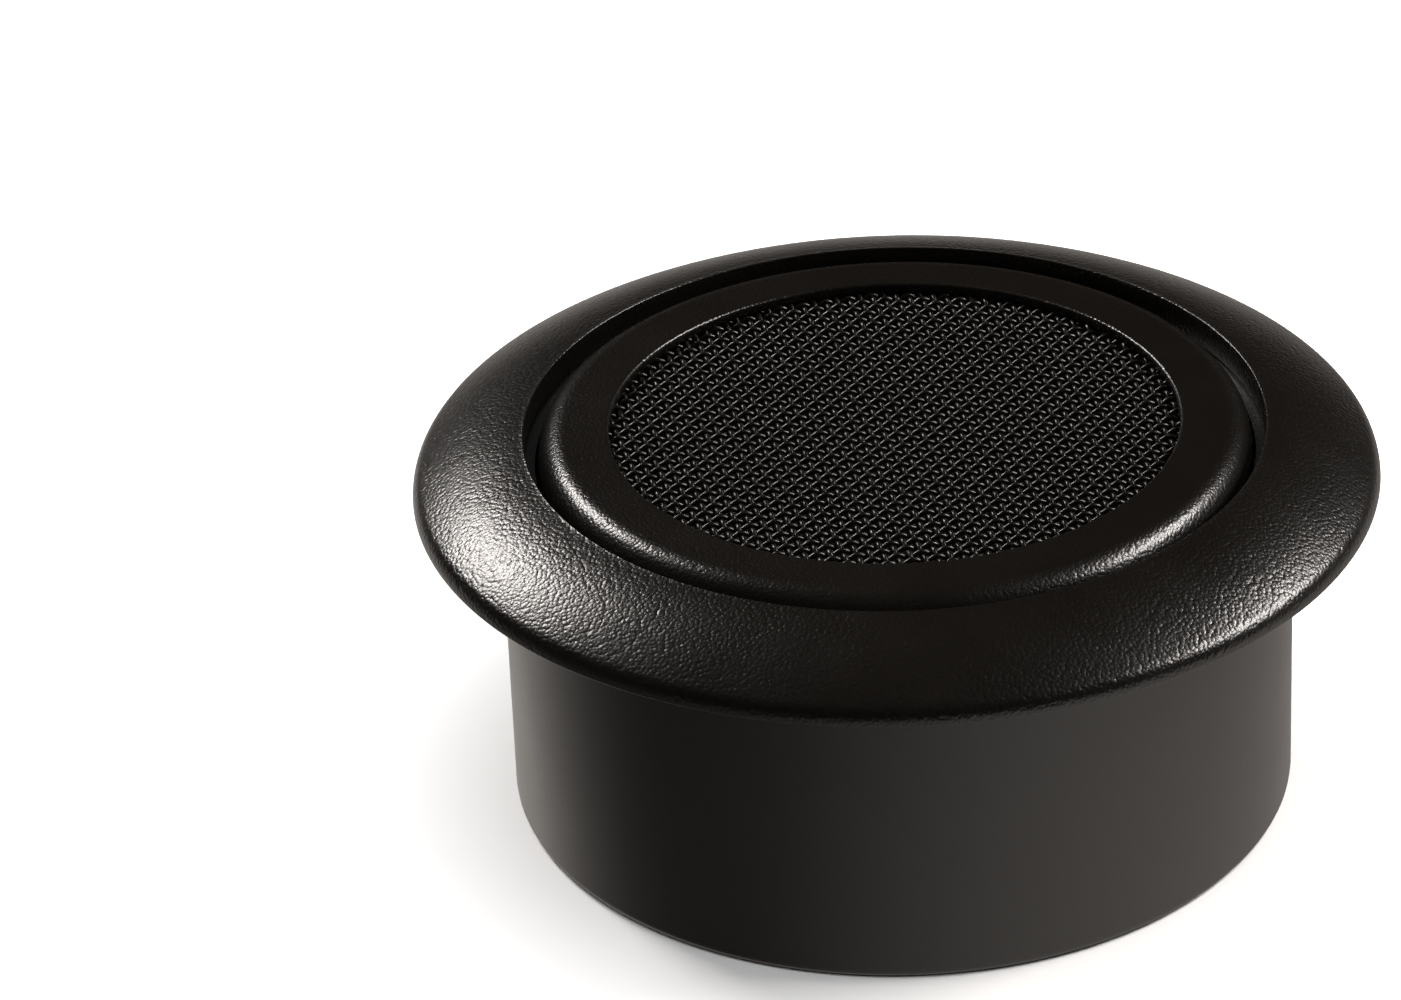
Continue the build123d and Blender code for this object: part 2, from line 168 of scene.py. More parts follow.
def lathe_tree():
    """Turns a half-section, given as a chain of points in XZ, about the Z axis."""
    tree = Tree("lathe", [
        ("Section", "NodeSocketGeometry", None),
        ("Points", "NodeSocketInt", 2),
        ("Facets", "NodeSocketInt", 192),
        ("Finish", "NodeSocketMaterial", None),
    ])
    columns = tree.maths("ADD", tree.inputs["Facets"], 1)
    grid = tree.node("GeometryNodeMeshGrid")
    tree.link(columns, grid.inputs["Vertices X"])
    tree.link(tree.inputs["Points"], grid.inputs["Vertices Y"])
    index = tree.node("GeometryNodeInputIndex").outputs[0]
    middle = tree.maths("ADD", index, 0.5)      # keeps the division off whole numbers
    column = tree.maths("FLOOR", tree.maths("DIVIDE", middle, tree.inputs["Points"]))
    row = tree.maths("SUBTRACT", index, tree.maths("MULTIPLY", column, tree.inputs["Points"]))
    section = tree.node("GeometryNodeSampleIndex", data_type="FLOAT_VECTOR", domain="POINT")
    tree.link(tree.inputs["Section"], section.inputs["Geometry"])
    tree.link(tree.node("GeometryNodeInputPosition").outputs[0], section.inputs["Value"])
    tree.link(row, section.inputs["Index"])
    turn = tree.maths("MULTIPLY", tree.maths("DIVIDE", column, tree.inputs["Facets"]), math.tau)
    rotate = tree.node("ShaderNodeVectorRotate", rotation_type="Z_AXIS")
    tree.link(section.outputs["Value"], rotate.inputs["Vector"])
    tree.link(turn, rotate.inputs["Angle"])
    place = tree.node("GeometryNodeSetPosition")
    tree.link(grid.outputs["Mesh"], place.inputs["Geometry"])
    tree.link(rotate.outputs[0], place.inputs["Position"])
    weld = tree.node("GeometryNodeMergeByDistance")
    weld.inputs["Distance"].default_value = WELD_DISTANCE
    tree.link(place.outputs["Geometry"], weld.inputs["Geometry"])
    return tree.finish(weld.outputs["Geometry"])


def weave_tree():
    """One set of parallel crimped wires of a plain weave, cut to a disc."""
    tree = Tree("plain_weave", [
        ("Wires", "NodeSocketInt", 49),
        ("Pitch", "NodeSocketFloat", 0.7 * MM),
        ("Wire radius", "NodeSocketFloat", 0.14 * MM),
        ("Disc radius", "NodeSocketFloat", 16.0 * MM),
        ("Height", "NodeSocketFloat", 0.0),
        ("Phase", "NodeSocketFloat", 0.0),
        ("Turn", "NodeSocketFloat", 0.0),
        ("Sides", "NodeSocketInt", 8),
        ("Finish", "NodeSocketMaterial", None),
    ])
    pitch = tree.inputs["Pitch"]
    half_count = tree.maths("DIVIDE", tree.maths("SUBTRACT", tree.inputs["Wires"], 1), 2)
    edge = tree.maths("MULTIPLY", half_count, pitch)
    start = tree.node("ShaderNodeCombineXYZ")
    tree.link(tree.maths("MULTIPLY", edge, -1), start.inputs["X"])
    step = tree.node("ShaderNodeCombineXYZ")
    tree.link(pitch, step.inputs["X"])
    row = tree.node("GeometryNodeMeshLine", mode="OFFSET")
    tree.link(tree.inputs["Wires"], row.inputs["Count"])
    tree.link(start.outputs[0], row.inputs["Start Location"])
    tree.link(step.outputs[0], row.inputs["Offset"])
    near_end = tree.node("ShaderNodeCombineXYZ")
    far_end = tree.node("ShaderNodeCombineXYZ")
    tree.link(tree.maths("MULTIPLY", edge, -1), near_end.inputs["Y"])
    tree.link(edge, far_end.inputs["Y"])
    wire = tree.node("GeometryNodeCurvePrimitiveLine")
    tree.link(near_end.outputs[0], wire.inputs["Start"])
    tree.link(far_end.outputs[0], wire.inputs["End"])
    divide = tree.node("GeometryNodeResampleCurve")
    points_per_pitch = 4
    points = tree.maths("ADD", tree.maths("MULTIPLY", half_count, 2 * points_per_pitch), 1)
    tree.link(wire.outputs[0], divide.inputs["Curve"])
    tree.link(points, divide.inputs["Count"])
    wires = tree.node("GeometryNodeInstanceOnPoints")
    tree.link(row.outputs["Mesh"], wires.inputs["Points"])
    tree.link(divide.outputs["Curve"], wires.inputs["Instance"])
    realize = tree.node("GeometryNodeRealizeInstances")
    tree.link(wires.outputs["Instances"], realize.inputs["Geometry"])
    split = tree.node("ShaderNodeSeparateXYZ")
    tree.link(tree.node("GeometryNodeInputPosition").outputs[0], split.inputs[0])
    steps = tree.maths("DIVIDE", tree.maths("ADD", split.outputs["X"], split.outputs["Y"]), pitch)
    swing = tree.maths("ADD", tree.maths("MULTIPLY", steps, math.pi), tree.inputs["Phase"])
    crimp = tree.maths("MULTIPLY", tree.maths("COSINE", swing), tree.inputs["Wire radius"])
    rise = tree.node("ShaderNodeCombineXYZ")
    tree.link(tree.maths("ADD", crimp, tree.inputs["Height"]), rise.inputs["Z"])
    bend = tree.node("GeometryNodeSetPosition")
    tree.link(realize.outputs["Geometry"], bend.inputs["Geometry"])
    tree.link(rise.outputs[0], bend.inputs["Offset"])
    across = tree.maths("MULTIPLY", split.outputs["X"], split.outputs["X"])
    along = tree.maths("MULTIPLY", split.outputs["Y"], split.outputs["Y"])
    reach = tree.maths("SQRT", tree.maths("ADD", across, along))
    cut = tree.node("GeometryNodeDeleteGeometry", domain="POINT")
    tree.link(bend.outputs["Geometry"], cut.inputs["Geometry"])
    tree.link(tree.maths("GREATER_THAN", reach, tree.inputs["Disc radius"]), cut.inputs["Selection"])
    rod = tree.node("GeometryNodeCurvePrimitiveCircle")
    tree.link(tree.inputs["Sides"], rod.inputs["Resolution"])
    tree.link(tree.inputs["Wire radius"], rod.inputs["Radius"])
    skin = tree.node("GeometryNodeCurveToMesh")
    skin.inputs["Fill Caps"].default_value = True
    tree.link(cut.outputs["Geometry"], skin.inputs["Curve"])
    tree.link(rod.outputs["Curve"], skin.inputs["Profile Curve"])
    smooth = tree.node("GeometryNodeSetShadeSmooth")
    tree.link(skin.outputs["Mesh"], smooth.inputs["Geometry"])
    spin = tree.node("GeometryNodeTransform")
    turn = tree.node("ShaderNodeCombineXYZ")
    tree.link(tree.inputs["Turn"], turn.inputs["Z"])
    tree.link(smooth.outputs["Geometry"], spin.inputs["Geometry"])
    tree.link(turn.outputs[0], spin.inputs["Rotation"])
    return tree.finish(spin.outputs["Geometry"])


def coil_tree():
    """Layers of round wire wound side by side on a former."""
    tree = Tree("coil_winding", [
        ("Turns", "NodeSocketInt", 12),
        ("Wire radius", "NodeSocketFloat", 0.08 * MM),
        ("Coil radius", "NodeSocketFloat", 12.7 * MM),
        ("Bottom", "NodeSocketFloat", 0.0),
        ("Facets", "NodeSocketInt", 128),
        ("Sides", "NodeSocketInt", 8),
        ("Finish", "NodeSocketMaterial", None),
    ])
    wire_width = tree.maths("MULTIPLY", tree.inputs["Wire radius"], 2)
    start = tree.node("ShaderNodeCombineXYZ")
    tree.link(tree.maths("ADD", tree.inputs["Bottom"], tree.inputs["Wire radius"]), start.inputs["Z"])
    step = tree.node("ShaderNodeCombineXYZ")
    tree.link(wire_width, step.inputs["Z"])
    stack = tree.node("GeometryNodeMeshLine", mode="OFFSET")
    tree.link(tree.inputs["Turns"], stack.inputs["Count"])
    tree.link(start.outputs[0], stack.inputs["Start Location"])
    tree.link(step.outputs[0], stack.inputs["Offset"])
    loop = tree.node("GeometryNodeCurvePrimitiveCircle")
    tree.link(tree.inputs["Facets"], loop.inputs["Resolution"])
    tree.link(tree.inputs["Coil radius"], loop.inputs["Radius"])
    rod = tree.node("GeometryNodeCurvePrimitiveCircle")
    tree.link(tree.inputs["Sides"], rod.inputs["Resolution"])
    tree.link(tree.inputs["Wire radius"], rod.inputs["Radius"])
    skin = tree.node("GeometryNodeCurveToMesh")
    tree.link(loop.outputs["Curve"], skin.inputs["Curve"])
    tree.link(rod.outputs["Curve"], skin.inputs["Profile Curve"])
    smooth = tree.node("GeometryNodeSetShadeSmooth")
    tree.link(skin.outputs["Mesh"], smooth.inputs["Geometry"])
    turns = tree.node("GeometryNodeInstanceOnPoints")
    tree.link(stack.outputs["Mesh"], turns.inputs["Points"])
    tree.link(smooth.outputs["Geometry"], turns.inputs["Instance"])
    return tree.finish(turns.outputs["Instances"])


def grow(name, tree, values, section=None):
    """Runs a tree with the given inputs on a new object and keeps the mesh that it makes."""
    source = bpy.data.meshes.new(name + "_section")
    if section:
        source.from_pydata([(x, 0, z) for x, z in section], [], [])
    carrier = bpy.data.objects.new(name, source)
    bpy.context.scene.collection.objects.link(carrier)
    modifier = carrier.modifiers.new("shape", "NODES")
    modifier.node_group = tree
    for socket in tree.interface.items_tree:
        if socket.in_out == "INPUT" and socket.name in values:
            modifier[socket.identifier] = values[socket.name]
    shown = carrier.evaluated_get(bpy.context.evaluated_depsgraph_get())
    mesh = bpy.data.meshes.new_from_object(shown)
    carrier.modifiers.remove(modifier)
    carrier.data = mesh
    mesh.name = name
    return carrier


def face_out(piece, sharp_angle=35):
    """Points the faces outwards, and keeps only real corners sharp."""
    shape = bmesh.new()
    shape.from_mesh(piece.data)
    bmesh.ops.dissolve_degenerate(shape, dist=1e-7, edges=shape.edges)
    bmesh.ops.recalc_face_normals(shape, faces=shape.faces)
    shape.to_mesh(piece.data)
    shape.free()
    piece.data.shade_smooth()
    piece.data.set_sharp_from_angle(angle=math.radians(sharp_angle))


def turned(name, section, finish, facets=192):
    """A piece turned from a closed half-section."""
    piece = grow(name, LATHE, {"Points": len(section) + 1, "Facets": facets, "Finish": finish},
                 section + section[:1])
    face_out(piece)
    return piece


def fit(piece, node, body):
    """Stands a piece in for its CAD node."""
    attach(piece, body)
    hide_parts(node)


# ------------------------------------------------------------------ finishes
def shader_group(name, inputs, outputs):
    """An empty shader node group with the given sockets."""
    group = bpy.data.node_groups.new(name, "ShaderNodeTree")
    for label, kind, value in inputs:
        socket = group.interface.new_socket(label, in_out="INPUT", socket_type=kind)
        if value is not None:
            socket.default_value = value
    for label, kind in outputs:
        group.interface.new_socket(label, in_out="OUTPUT", socket_type=kind)
    entry = group.nodes.new("NodeGroupInput")
    leave = group.nodes.new("NodeGroupOutput")
    return group, entry.outputs, leave.inputs


def shader_maths(group, operation, first, second=0.0, third=0.0):
    """One Math node in a shader tree. Each operand is a socket or a number."""
    made = group.nodes.new("ShaderNodeMath")
    made.operation = operation
    for index, operand in enumerate((first, second, third)):
        if isinstance(operand, (int, float)):
            made.inputs[index].default_value = operand
        else:
            group.links.new(operand, made.inputs[index])
    return made.outputs[0]


def noise(group, vector, size, detail=2.0, roughness=0.5):
    """A noise texture whose features are about one size across. The size is a socket."""
    made = group.nodes.new("ShaderNodeTexNoise")
    made.inputs["Detail"].default_value = detail
    made.inputs["Roughness"].default_value = roughness
    group.links.new(vector, made.inputs["Vector"])
    group.links.new(shader_maths(group, "DIVIDE", 1.0, size), made.inputs["Scale"])
    return made.outputs["Fac"]


def blasted_grain():
    """Sandblasted mould grain: small domes of about one size, uneven in height and place, and a mask
    of painted glints on the domes' tops.
    """
    group, given, out = shader_group(
        "blasted_grain",
        [("Vector", "NodeSocketVector", None), ("Grain size", "NodeSocketFloat", 0.2 * MM)],
        [("Height", "NodeSocketFloat"), ("Painted glints", "NodeSocketFloat")],
    )
    domes = group.nodes.new("ShaderNodeTexVoronoi")
    domes.feature = "SMOOTH_F1"
    domes.inputs["Smoothness"].default_value = 0.35
    group.links.new(given["Vector"], domes.inputs["Vector"])
    scale = shader_maths(group, "DIVIDE", 1.0, given["Grain size"])
    group.links.new(scale, domes.inputs["Scale"])
    fall = shader_maths(group, "POWER", domes.outputs["Distance"], 2.0)
    uneven = noise(group, given["Vector"], given["Grain size"], detail=2.0, roughness=0.6)
    dome_drop = 1.6
    drop = shader_maths(group, "MULTIPLY", fall, dome_drop)
    height = shader_maths(group, "SUBTRACT", uneven, drop)
    group.links.new(height, out["Height"])
    # Painted glints: a mask of the tops of the domes, which is later lightened in the base colour.
    painted_glint_mask = group.nodes.new("ShaderNodeMapRange")
    painted_glint_mask.inputs["From Min"].default_value = 0.45
    painted_glint_mask.inputs["From Max"].default_value = 0.75
    group.links.new(height, painted_glint_mask.inputs["Value"])
    group.links.new(painted_glint_mask.outputs[0], out["Painted glints"])
    return group


def handling():
    """Slow, uneven tone and gloss from moulding and handling."""
    group, given, out = shader_group(
        "handling",
        [("Vector", "NodeSocketVector", None), ("Patch size", "NodeSocketFloat", 6 * MM),
         ("Tone spread", "NodeSocketFloat", 0.15), ("Gloss", "NodeSocketFloat", 0.5),
         ("Gloss spread", "NodeSocketFloat", 0.05)],
        [("Tone", "NodeSocketFloat"), ("Roughness", "NodeSocketFloat")],
    )
    patches = noise(group, given["Vector"], given["Patch size"], detail=4.0, roughness=0.6)
    centred = shader_maths(group, "SUBTRACT", patches, 0.5)
    tone = shader_maths(group, "MULTIPLY_ADD", centred, given["Tone spread"], 1.0)
    rough = shader_maths(group, "MULTIPLY_ADD", centred, given["Gloss spread"], given["Gloss"])
    group.links.new(tone, out["Tone"])
    group.links.new(rough, out["Roughness"])
    return group


def woven_cloth():
    """Plain-woven threads: a height, and a tone with painted shade, darker in the weave's hollows."""
    group, given, out = shader_group(
        "woven_cloth",
        [("Vector", "NodeSocketVector", None), ("Thread pitch", "NodeSocketFloat", 0.2 * MM)],
        [("Height", "NodeSocketFloat"), ("Tone", "NodeSocketFloat")],
    )
    split = group.nodes.new("ShaderNodeSeparateXYZ")
    group.links.new(given["Vector"], split.inputs[0])
    turn = shader_maths(group, "DIVIDE", math.pi, given["Thread pitch"])
    across = shader_maths(group, "SINE", shader_maths(group, "MULTIPLY", split.outputs["X"], turn))
    along = shader_maths(group, "SINE", shader_maths(group, "MULTIPLY", split.outputs["Y"], turn))
    checks = shader_maths(group, "MULTIPLY", across, along)
    ridges = shader_maths(group, "MAXIMUM", shader_maths(group, "ABSOLUTE", across),
                          shader_maths(group, "ABSOLUTE", along))
    height = shader_maths(group, "MULTIPLY_ADD", checks, 0.35, ridges)
    group.links.new(height, out["Height"])
    # Painted shade: the tone follows the height, so the hollows between threads are darker.
    tone = shader_maths(group, "MULTIPLY_ADD", height, 0.25, 0.8)
    group.links.new(tone, out["Tone"])
    return group


class Finish:
    """A material in the making: object coordinates, a Principled shader and helpers."""

    def __init__(self, name, colour, metallic=0.0, specular=0.5):
        self.material = bpy.data.materials.new(name)
        self.material.use_nodes = True
        self.tree = self.material.node_tree
        self.shader = self.tree.nodes["Principled BSDF"]
        self.place = self.tree.nodes.new("ShaderNodeTexCoord").outputs["Object"]
        self.colour = colour
        self.shader.inputs["Metallic"].default_value = metallic
        self.shader.inputs["Specular IOR Level"].default_value = specular
        self.material.diffuse_color = (*colour, 1)

    def group(self, group, **values):
        """A shader group on the object's coordinates, with some inputs set."""
        made = self.tree.nodes.new("ShaderNodeGroup")
        made.node_tree = group
        for label, value in values.items():
            made.inputs[label.replace("_", " ")].default_value = value
        self.tree.links.new(self.place, made.inputs["Vector"])
        return made.outputs

    def tint(self, tone):
        """Base colour, lightened or darkened by a tone about 1."""
        mix = self.tree.nodes.new("ShaderNodeMix")
        mix.data_type = "RGBA"
        mix.blend_type = "MULTIPLY"
        mix.inputs["Factor"].default_value = 1
        mix.inputs["A"].default_value = (*self.colour, 1)
        self.tree.links.new(tone, mix.inputs["B"])
        self.tree.links.new(mix.outputs["Result"], self.shader.inputs["Base Color"])

    def rough(self, value):
        """Roughness from a socket."""
        self.tree.links.new(value, self.shader.inputs["Roughness"])

    def bump(self, height, depth):
        """Surface relief of a depth in metres."""
        made = self.tree.nodes.new("ShaderNodeBump")
        made.inputs["Distance"].default_value = depth
        made.inputs["Strength"].default_value = 1
        self.tree.links.new(height, made.inputs["Height"])
        self.tree.links.new(made.outputs["Normal"], self.shader.inputs["Normal"])


GRAIN = blasted_grain()
HANDLING = handling()
CLOTH = woven_cloth()


def moulded(name, colour, gloss, grain, depth, tone=0.15, specular=0.5, painted_glint=0.0):
    """Moulded plastic or rubber with a mould grain, and painted glints: the tops of the grain's domes
    lightened in the base colour by the given amount.
    """
    made = Finish(name, colour, specular=specular)
    wear = made.group(HANDLING, Tone_spread=tone, Gloss=gloss, Gloss_spread=0.1)
    pits = made.group(GRAIN, Grain_size=grain)
    # Painted glints: the base colour is lightened on the grain's dome tops, on top of the random
    # tone.
    light = shader_maths(made.tree, "MULTIPLY_ADD", pits["Painted glints"], painted_glint, wear["Tone"])
    made.tint(light)
    made.rough(wear["Roughness"])
    made.bump(pits["Height"], depth)
    return made.material


def plated(name, colour, gloss, grain, depth, tone=0.1):
    """Plated or painted metal with a fine surface texture."""
    made = Finish(name, colour, metallic=1.0)
    wear = made.group(HANDLING, Patch_size=3 * MM, Tone_spread=tone, Gloss=gloss, Gloss_spread=0.15)
    pits = made.group(GRAIN, Grain_size=grain)
    made.tint(wear["Tone"])
    made.rough(wear["Roughness"])
    made.bump(pits["Height"], depth)
    return made.material


def cloth(name, colour, gloss, pitch, depth):
    """Coated woven cloth, with painted shade darkening the weave's hollows."""
    made = Finish(name, colour)
    wear = made.group(HANDLING, Tone_spread=0.2, Gloss=gloss, Gloss_spread=0.1)
    threads = made.group(CLOTH, Thread_pitch=pitch)
    made.tint(shader_maths(made.tree, "MULTIPLY", threads["Tone"], wear["Tone"]))
    made.rough(wear["Roughness"])
    made.bump(threads["Height"], depth)
    return made.material


# Each finish: name, colour, roughness, grain or thread size, and depth of the relief.
BLACK = (0.0026, 0.0020, 0.0015)
# The flange and the bezel carry painted glints: their grain's dome tops are lightened in colour.
FLANGE_BLACK = moulded("flange_black", BLACK, 0.28, 0.21 * MM, 0.014 * MM, tone=0.3, painted_glint=0.8)
BEZEL_BLACK = moulded("bezel_black", BLACK, 0.28, 0.19 * MM, 0.012 * MM, tone=0.3, painted_glint=0.8)
CUP_GREY = moulded("cup_grey", (0.0045, 0.0034, 0.0026), 0.3, 0.35 * MM, 0.0015 * MM)
INNER_BLACK = moulded("inner_black", (0.008, 0.0078, 0.0076), 0.5, 0.2 * MM, 0.006 * MM)
RUBBER = moulded("rubber_black", (0.01, 0.01, 0.01), 0.7, 0.12 * MM, 0.006 * MM)
FOAM = moulded("foam_black", (0.012, 0.012, 0.012), 0.9, 0.3 * MM, 0.08 * MM, tone=0.6)
FELT = moulded("felt_grey", (0.09, 0.088, 0.085), 0.95, 0.15 * MM, 0.06 * MM, tone=0.6)
BOARD = moulded("phenolic_board", (0.3, 0.17, 0.07), 0.5, 0.4 * MM, 0.004 * MM, tone=0.5)
SLEEVE = moulded("capacitor_sleeve", (0.02, 0.04, 0.16), 0.28, 0.5 * MM, 0.002 * MM)
MESH_PAINT = moulded("mesh_paint", (0.0022, 0.0017, 0.0013), 0.32, 0.08 * MM, 0.004 * MM,
                     specular=0.35)
STEEL = plated("zinc_steel", (0.62, 0.62, 0.64), 0.32, 0.1 * MM, 0.002 * MM)
NICKEL = plated("nickel", (0.66, 0.63, 0.58), 0.2, 0.3 * MM, 0.001 * MM)
BRASS = plated("brass", (0.78, 0.57, 0.25), 0.3, 0.12 * MM, 0.002 * MM)
COPPER = plated("enamelled_copper", (0.75, 0.36, 0.17), 0.25, 0.1 * MM, 0.001 * MM)
FOIL = plated("aluminium_foil", (0.8, 0.8, 0.82), 0.35, 0.1 * MM, 0.002 * MM)
# The silk's weave tone carries painted shade in its hollows.
SILK = cloth("coated_silk", (0.016, 0.016, 0.018), 0.5, 0.2 * MM, 0.012 * MM)

LATHE = lathe_tree()
WEAVE = weave_tree()
COIL = coil_tree()


# ------------------------------------------------------------------ casing
def crown_section():
    """The flange: a crown that steepens outwards, a tight rim, and a hollow for the gasket."""
    centre = (lip_radius - crown_radius * math.sin(lip_slope),
              lip_height - crown_radius * math.cos(lip_slope))
    rim_centre_radius = flange_radius - rim_round
    slope = math.asin((rim_centre_radius - centre[0]) / (crown_radius - rim_round))
    rim_centre = (rim_centre_radius, centre[1] + (crown_radius - rim_round) * math.cos(slope))
    lip_angle = 90 - math.degrees(lip_slope)
    rim_angle = 90 - math.degrees(slope)
    lip_edge, low_edge, lip_gap = 0.09 * MM, 0.12 * MM, 0.5
    crown = arc(centre, crown_radius, lip_angle - lip_gap, rim_angle, 28)
    rim = arc(rim_centre, rim_round, rim_angle, 0, 10)
    underside = arc((flange_radius - low_edge, seat + low_edge), low_edge, 0, -90, 5)
    gasket_in, gasket_out = 23.2 * MM, 25.4 * MM
    gasket_top = node_heights("panel_gasket")[1]
    neck_top, lip_under = 20.4 * MM, 20.8 * MM
    bore = cup_radius - cup_wall
    inside = [
        (gasket_out, seat), (gasket_out, gasket_top), (gasket_in, gasket_top), (gasket_in, seat),
        (neck_radius, seat), (neck_radius, neck_top), (bore, neck_top), (bore, lip_under),
        (lip_radius, lip_under),
    ]
    lip = arc((lip_radius + lip_edge, lip_height - lip_edge), lip_edge, 180, 100, 5)
    return crown + rim[1:] + underside + inside + lip


def make_flange():
    """The wide domed flange, with its groove for the gasket."""
    piece = turned("flange_shell", crown_section(), FLANGE_BLACK, facets=fine_facets)
    fit(piece, "trim_flange", "housing")


def bezel_section():
    """The capsule's ring: a small lip, a nearly flat face, a full shoulder, and a ball side."""
    side_radius, side_bottom, shoulder = 19.95 * MM, 20.5 * MM, 1.6 * MM
    lip_in, lip_out, lip_round, bore = 15.89 * MM, 16.39 * MM, 0.2 * MM, 18.0 * MM
    shoulder_height, face_height = bezel_top - 0.09 * MM, bezel_top - 0.03 * MM
    low = math.degrees(math.asin((bezel_joint - pivot_height) / ball_radius))
    high = math.degrees(math.asin((side_bottom - pivot_height) / ball_radius))
    side = [(*point, 0) for point in arc((0, pivot_height), ball_radius, low, high, 6)]
    return rounded(side + [
        (side_radius, shoulder_height, shoulder), (lip_out, face_height, 0),
        (lip_in, bezel_top, lip_round), (lip_in, mesh_top, 0), (mesh_radius, mesh_top, 0),
        (mesh_radius, mesh_bottom, 0), (bore, mesh_bottom, 0), (bore, bezel_joint, 0),
    ], steps=14)


def make_bezel():
    """The ring that frames the mesh."""
    piece = turned("bezel_ring", bezel_section(), BEZEL_BLACK, facets=fine_facets)
    fit(piece, "capsule_bezel", "capsule")


def cup_section():
    """The cup: a straight side on a rounded base, with the ledge that carries the swivel."""
    bore = cup_radius - cup_wall
    top = 20.4 * MM
    boss_radius, boss_top, insert_radius = 3.6 * MM, 4.0 * MM, 2.8 * MM
    slant = bore - ledge_radius
    base_round, small_round = 0.6 * MM, 0.1 * MM
    ledge_edge = ledge_top - 0.6 * MM
    return rounded([
        (insert_radius, 0, 0), (cup_radius, 0, base_round), (cup_radius, cup_side_top, 0.08 * MM),
        (neck_radius, cup_side_top, 0), (neck_radius, top, small_round), (bore, top, small_round),
        (bore, ledge_top, 0), (ledge_radius, ledge_top, small_round),
        (ledge_radius, ledge_edge, small_round), (bore, ledge_edge - slant, 0.3 * MM),
        (bore, cup_floor, 0.4 * MM), (boss_radius, cup_floor, 0.3 * MM),
        (boss_radius, boss_top, 0.15 * MM), (insert_radius, boss_top, 0),
    ])


def cut_out(piece, cutter):
    """Takes one piece's shape out of another, and throws the cutter away."""
    modifier = piece.modifiers.new("cut", "BOOLEAN")
    modifier.operation = "DIFFERENCE"
    modifier.solver = "EXACT"
    modifier.object = cutter
    shown = piece.evaluated_get(bpy.context.evaluated_depsgraph_get())
    mesh = bpy.data.meshes.new_from_object(shown)
    piece.modifiers.remove(modifier)
    piece.data = mesh
    bpy.data.objects.remove(cutter)


def make_cup():
    """The cup, with the stepped hole for the cable grommet let into its floor."""
    piece = turned("cup_shell", cup_section(), CUP_GREY, facets=fine_facets)
    low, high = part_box("cable_grommet")
    flange, neck, step = (high.x - low.x) / 2, 3.0 * MM, cup_floor / 2
    spare = 0.2 * MM
    hole = turned("grommet_hole", [
        (0, -spare), (flange, -spare), (flange, step), (neck, step),
        (neck, cup_floor + spare), (0, cup_floor + spare),
    ], CUP_GREY, facets=64)
    hole.data.transform(Matrix.Translation((0, (low.y + high.y) / 2, 0)))
    cut_out(piece, hole)
    face_out(piece)
    fit(piece, "mounting_cup", "housing")


# ------------------------------------------------------------------ grille
def make_mesh():
    """Plain-woven wire: two sets of wires, each a piece, crimped over and under each other."""
    wire_radius = (mesh_top - mesh_bottom) / 4
    pitch = 0.68 * MM
    count = 2 * int((mesh_radius - wire_radius) / pitch) + 1
    angle = math.radians(14)
    for name, phase, turn in (("mesh_warp", 0.0, 0.0), ("mesh_weft", math.pi, math.pi / 2)):
        piece = grow(name, WEAVE, {
            "Wires": count, "Pitch": pitch, "Wire radius": wire_radius,
            "Disc radius": mesh_radius - wire_radius, "Height": (mesh_top + mesh_bottom) / 2,
            "Phase": phase, "Turn": turn + angle, "Sides": 8, "Finish": MESH_PAINT,
        })
        fit(piece, "grille_mesh", "capsule")


# ------------------------------------------------------------------ diaphragm
def make_winding():
    """The voice coil: two layers of copper wire, each a piece, wound on the former."""
    low, high = node_heights("voice_coil_winding")
    former = node_radius("voice_coil_former")
    wire_radius = (node_radius("voice_coil_winding") - former) / 4
    turns = int((high - low) / (2 * wire_radius))
    layers = [
        grow(f"winding_layer_{layer + 1}", COIL, {
            "Turns": turns, "Wire radius": wire_radius,
            "Coil radius": former + wire_radius * (1 + 2 * layer), "Bottom": low,
            "Facets": 128, "Sides": 8, "Finish": COPPER,
        })
        for layer in range(2)
    ]
    for piece in layers:
        fit(piece, "voice_coil_winding", "diaphragm")


# ------------------------------------------------------------------ CAD nodes that stay
NODE_FINISHES = {
    "panel_gasket": FOAM, "friction_washer": RUBBER, "cable_grommet": RUBBER,
    "strap_insert": BRASS, "highpass_capacitor": SLEEVE, "swivel_ring": INNER_BLACK,
    "pivot_pins": STEEL, "capsule_shell": INNER_BLACK, "grille_retainer": INNER_BLACK,
    "waveguide_ring": INNER_BLACK, "rear_cover": INNER_BLACK, "yoke": STEEL,
    "magnet": NICKEL, "pole_plate": STEEL, "dome_damping_pad": FELT,
    "motor_chassis": INNER_BLACK, "surround": SILK, "diaphragm_clamp": INNER_BLACK,
    "dome": SILK, "voice_coil_former": FOIL, "terminal_board": BOARD,
    "positive_terminal": BRASS, "negative_terminal": BRASS, "motor_screw": STEEL,
    "lead_out_wires": COPPER,
}


def finish_nodes():
    """Gives every CAD node that stays in view its material."""
    for node, finish in NODE_FINISHES.items():
        for slot in frame["nodes"][node].material_slots:
            slot.material = finish


